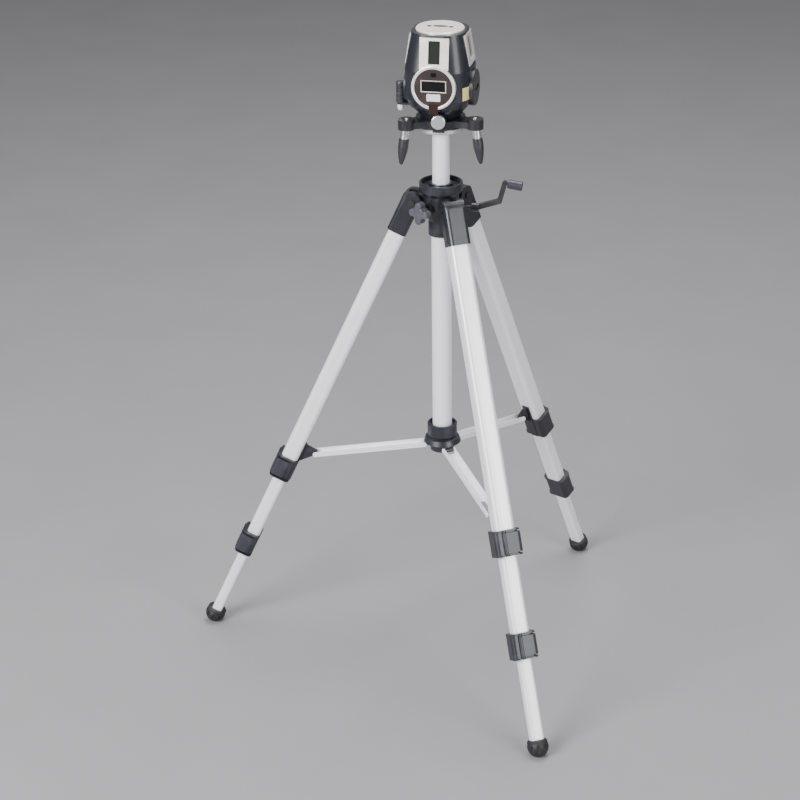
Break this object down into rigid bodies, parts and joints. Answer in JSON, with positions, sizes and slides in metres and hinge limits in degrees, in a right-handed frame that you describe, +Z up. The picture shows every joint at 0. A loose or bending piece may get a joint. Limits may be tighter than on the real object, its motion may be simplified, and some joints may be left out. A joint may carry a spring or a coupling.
{
  "type": "laser level on tripod",
  "caption": "Self-levelling cross-line laser level on a folding tripod with telescopic flip-lock legs, a brace spreader and a crank-raised centre column.",
  "frame": {"origin": "on the floor, on the axis of the tripod's column, midway between the feet", "axes": "+Z up along the column; +X towards the crank, between the front right and rear right legs; the level's front faces roughly -Y"},
  "size_m": [0.5592, 0.641, 0.943],
  "materials": {
    "tube_aluminium": "bright satin anodised",
    "black_moulding": "fine spark-eroded texture",
    "lever_plastic": "fine texture, slightly glossier",
    "foot_rubber": "moulded, matt",
    "brace_aluminium": "pressed, bright",
    "steel_hardware": "zinc plated",
    "crank_black": "black coated",
    "knob_plastic": "moulded grip",
    "plate_aluminium": "turned",
    "base_plastic": "moulded",
    "shell_plastic": "glossy moulded",
    "bright_trim": "satin chrome",
    "window_pane": "clear",
    "panel_plastic": "printed overlay, dark brown",
    "key_white": "white key",
    "boot_and_screw": "black boot on a bright screw",
    "pendulum_metal": "machined",
    "gimbal_metal": "machined",
    "battery_wrap": "sleeved pack"
  },
  "bodies": {
    "shoulder": {"shoulder": "black_moulding", "guide_tube": "tube_aluminium", "leg_pivot_pins": "steel_hardware"},
    "leg_a": {"leg_a_upper_tube": "tube_aluminium", "leg_a_knuckle": "black_moulding", "leg_a_upper_clamp": "black_moulding"},
    "leg_a_upper_lever": {"leg_a_upper_lever": "lever_plastic"},
    "leg_a_middle": {"leg_a_middle_tube": "tube_aluminium", "leg_a_lower_clamp": "black_moulding"},
    "leg_a_lower_lever": {"leg_a_lower_lever": "lever_plastic"},
    "leg_a_lower": {"leg_a_lower_tube": "tube_aluminium", "leg_a_foot": "foot_rubber"},
    "brace_a": {"leg_a_brace": "brace_aluminium"},
    "leg_b": {"leg_b_upper_tube": "tube_aluminium", "leg_b_knuckle": "black_moulding", "leg_b_upper_clamp": "black_moulding"},
    "leg_b_upper_lever": {"leg_b_upper_lever": "lever_plastic"},
    "leg_b_middle": {"leg_b_middle_tube": "tube_aluminium", "leg_b_lower_clamp": "black_moulding"},
    "leg_b_lower_lever": {"leg_b_lower_lever": "lever_plastic"},
    "leg_b_lower": {"leg_b_lower_tube": "tube_aluminium", "leg_b_foot": "foot_rubber"},
    "brace_b": {"leg_b_brace": "brace_aluminium"},
    "leg_c": {"leg_c_upper_tube": "tube_aluminium", "leg_c_knuckle": "black_moulding", "leg_c_upper_clamp": "black_moulding"},
    "leg_c_upper_lever": {"leg_c_upper_lever": "lever_plastic"},
    "leg_c_middle": {"leg_c_middle_tube": "tube_aluminium", "leg_c_lower_clamp": "black_moulding"},
    "leg_c_lower_lever": {"leg_c_lower_lever": "lever_plastic"},
    "leg_c_lower": {"leg_c_lower_tube": "tube_aluminium", "leg_c_foot": "foot_rubber"},
    "brace_c": {"leg_c_brace": "brace_aluminium"},
    "spreader_hub": {"spreader_hub": "black_moulding"},
    "column": {"column_tube": "tube_aluminium", "column_rack": "steel_hardware", "mounting_plate": "plate_aluminium", "mounting_screw": "steel_hardware", "level_base": "base_plastic"},
    "crank": {"crank_shaft": "steel_hardware", "crank_arm": "crank_black"},
    "crank_knob": {"crank_knob": "knob_plastic"},
    "column_lock_knob": {"column_lock_knob": "knob_plastic"},
    "azimuth_clamp_knob": {"azimuth_clamp_knob": "plate_aluminium"},
    "levelling_screw_a": {"levelling_screw_a": "boot_and_screw"},
    "levelling_screw_b": {"levelling_screw_b": "boot_and_screw"},
    "levelling_screw_c": {"levelling_screw_c": "boot_and_screw"},
    "head": {"body_shell": "shell_plastic", "upper_frame": "shell_plastic", "window_frames": "bright_trim", "window_glass": "window_pane", "top_cap": "plate_aluminium", "front_ring": "bright_trim", "front_panel": "panel_plastic", "battery_pack": "battery_wrap"},
    "power_key": {"power_key": "key_white"},
    "battery_cover": {"battery_cover": "shell_plastic"},
    "transport_lock_knob": {"transport_lock_knob": "knob_plastic"},
    "gimbal_ring": {"gimbal_ring": "gimbal_metal"},
    "pendulum": {"pendulum": "pendulum_metal"}
  },
  "joints": [
    {"name": "leg_a_fold", "type": "hinge", "parent": "shoulder", "child": "leg_a", "pos_m": [0.01997, -0.03459, 0.69514], "axis": [0.866, 0.5, 0], "range_deg": [0, 20.67]},
    {"name": "leg_a_upper_lever_flip", "type": "hinge", "parent": "leg_a", "child": "leg_a_upper_lever", "pos_m": [0.11933, -0.21768, 0.27958], "axis": [0.2087, -0.3614, -0.9087], "range_deg": [0, 80]},
    {"name": "leg_a_middle_slide", "type": "slide", "parent": "leg_a", "child": "leg_a_middle", "axis": [0.2087, -0.3614, -0.9087], "range_m": [-0.1, 0.16]},
    {"name": "leg_a_lower_lever_flip", "type": "hinge", "parent": "leg_a_middle", "child": "leg_a_lower_lever", "pos_m": [0.14853, -0.26826, 0.1486], "axis": [0.2087, -0.3614, -0.9087], "range_deg": [0, 80]},
    {"name": "leg_a_lower_slide", "type": "slide", "parent": "leg_a_middle", "child": "leg_a_lower", "axis": [0.2087, -0.3614, -0.9087], "range_m": [-0.1, 0.16]},
    {"name": "leg_b_fold", "type": "hinge", "parent": "shoulder", "child": "leg_b", "pos_m": [-0.03994, 0, 0.69514], "axis": [0, -1, 0], "range_deg": [0, 20.67]},
    {"name": "leg_b_upper_lever_flip", "type": "hinge", "parent": "leg_b", "child": "leg_b_upper_lever", "pos_m": [-0.24818, 0.0055, 0.27958], "axis": [-0.4174, 0, -0.9087], "range_deg": [0, 80]},
    {"name": "leg_b_middle_slide", "type": "slide", "parent": "leg_b", "child": "leg_b_middle", "axis": [-0.4174, 0, -0.9087], "range_m": [-0.1, 0.16]},
    {"name": "leg_b_lower_lever_flip", "type": "hinge", "parent": "leg_b_middle", "child": "leg_b_lower_lever", "pos_m": [-0.30658, 0.0055, 0.1486], "axis": [-0.4174, 0, -0.9087], "range_deg": [0, 80]},
    {"name": "leg_b_lower_slide", "type": "slide", "parent": "leg_b_middle", "child": "leg_b_lower", "axis": [-0.4174, 0, -0.9087], "range_m": [-0.1, 0.16]},
    {"name": "leg_c_fold", "type": "hinge", "parent": "shoulder", "child": "leg_c", "pos_m": [0.01997, 0.03459, 0.69514], "axis": [-0.866, 0.5, 0], "range_deg": [0, 20.67]},
    {"name": "leg_c_upper_lever_flip", "type": "hinge", "parent": "leg_c", "child": "leg_c_upper_lever", "pos_m": [0.12885, 0.21218, 0.27958], "axis": [0.2087, 0.3614, -0.9087], "range_deg": [0, 80]},
    {"name": "leg_c_middle_slide", "type": "slide", "parent": "leg_c", "child": "leg_c_middle", "axis": [0.2087, 0.3614, -0.9087], "range_m": [-0.1, 0.16]},
    {"name": "leg_c_lower_lever_flip", "type": "hinge", "parent": "leg_c_middle", "child": "leg_c_lower_lever", "pos_m": [0.15805, 0.26276, 0.1486], "axis": [0.2087, 0.3614, -0.9087], "range_deg": [0, 80]},
    {"name": "leg_c_lower_slide", "type": "slide", "parent": "leg_c_middle", "child": "leg_c_lower", "axis": [0.2087, 0.3614, -0.9087], "range_m": [-0.1, 0.16]},
    {"name": "hub_slide", "type": "slide", "parent": "shoulder", "child": "spreader_hub", "axis": [0, 0, 1], "range_m": [0, 0.11176]},
    {"name": "brace_a_fold", "type": "hinge", "parent": "spreader_hub", "child": "brace_a", "pos_m": [0.0125, -0.02165, 0.322], "axis": [0.866, 0.5, 0], "range_deg": [0, 79.55]},
    {"name": "brace_b_fold", "type": "hinge", "parent": "spreader_hub", "child": "brace_b", "pos_m": [-0.025, 0, 0.322], "axis": [0, -1, 0], "range_deg": [0, 79.55]},
    {"name": "brace_c_fold", "type": "hinge", "parent": "spreader_hub", "child": "brace_c", "pos_m": [0.0125, 0.02165, 0.322], "axis": [-0.866, 0.5, 0], "range_deg": [0, 79.55]},
    {"name": "column_slide", "type": "slide", "parent": "shoulder", "child": "column", "axis": [0, 0, 1], "range_m": [-0.03, 0.225]},
    {"name": "crank_turn", "type": "hinge", "parent": "shoulder", "child": "crank", "pos_m": [0, 0.0158, 0.682], "axis": [1, 0, 0], "range_deg": [-2580.3, 345.8]},
    {"name": "crank_knob_spin", "type": "hinge", "parent": "crank", "child": "crank_knob", "pos_m": [0.087, 0.0158, 0.719], "axis": [0.9877, 0, -0.1564], "continuous": true},
    {"name": "column_lock_turn", "type": "hinge", "parent": "shoulder", "child": "column_lock_knob", "pos_m": [-0.015, -0.02598, 0.69], "axis": [-0.5, -0.866, 0], "range_deg": [-180, 0]},
    {"name": "head_turn", "type": "hinge", "parent": "column", "child": "head", "pos_m": [0, 0, 0.819], "axis": [0, 0, 1], "continuous": true},
    {"name": "azimuth_clamp_turn", "type": "hinge", "parent": "column", "child": "azimuth_clamp_knob", "pos_m": [0.00258, -0.03691, 0.8225], "axis": [0.0698, -0.9976, 0], "range_deg": [-180, 0]},
    {"name": "levelling_screw_a_travel", "type": "slide", "parent": "column", "child": "levelling_screw_a", "axis": [0.1455, -0.0573, -0.9877], "range_m": [0, 0.005]},
    {"name": "levelling_screw_b_travel", "type": "slide", "parent": "column", "child": "levelling_screw_b", "axis": [-0.1224, -0.0974, -0.9877], "range_m": [0, 0.005]},
    {"name": "levelling_screw_c_travel", "type": "slide", "parent": "column", "child": "levelling_screw_c", "axis": [-0.0231, 0.1547, -0.9877], "range_m": [0, 0.005]},
    {"name": "power_key_press", "type": "slide", "parent": "head", "child": "power_key", "axis": [0.061, 0.9981, 0], "range_m": [0, 0.001], "stiffness_N_per_m": 400},
    {"name": "battery_cover_turn", "type": "hinge", "parent": "head", "child": "battery_cover", "pos_m": [0.04591, -0.00281, 0.861], "axis": [0.9981, -0.061, 0], "range_deg": [-30, 0]},
    {"name": "transport_lock_turn", "type": "hinge", "parent": "head", "child": "transport_lock_knob", "pos_m": [-0.05369, -0.00974, 0.85], "axis": [0, 0, 1], "range_deg": [0, 180]},
    {"name": "gimbal_roll", "type": "hinge", "parent": "head", "child": "gimbal_ring", "pos_m": [0, 0, 0.908], "axis": [0.9981, -0.061, 0], "range_deg": [-4, 4]},
    {"name": "gimbal_pitch", "type": "hinge", "parent": "gimbal_ring", "child": "pendulum", "pos_m": [0, 0, 0.908], "axis": [0.061, 0.9981, 0], "range_deg": [-4, 4]}
  ],
  "couplings": [
    {"joint": "leg_b_fold", "follows": "leg_a_fold", "ratio": 1},
    {"joint": "leg_c_fold", "follows": "leg_a_fold", "ratio": 1},
    {"joint": "hub_slide", "follows": "leg_a_fold", "m_per_rad": 0.30844},
    {"joint": "brace_a_fold", "follows": "leg_a_fold", "ratio": 3.8391},
    {"joint": "brace_b_fold", "follows": "leg_a_fold", "ratio": 3.8391},
    {"joint": "brace_c_fold", "follows": "leg_a_fold", "ratio": 3.8391},
    {"joint": "crank_turn", "follows": "column_slide", "rad_per_m": -200}
  ]
}
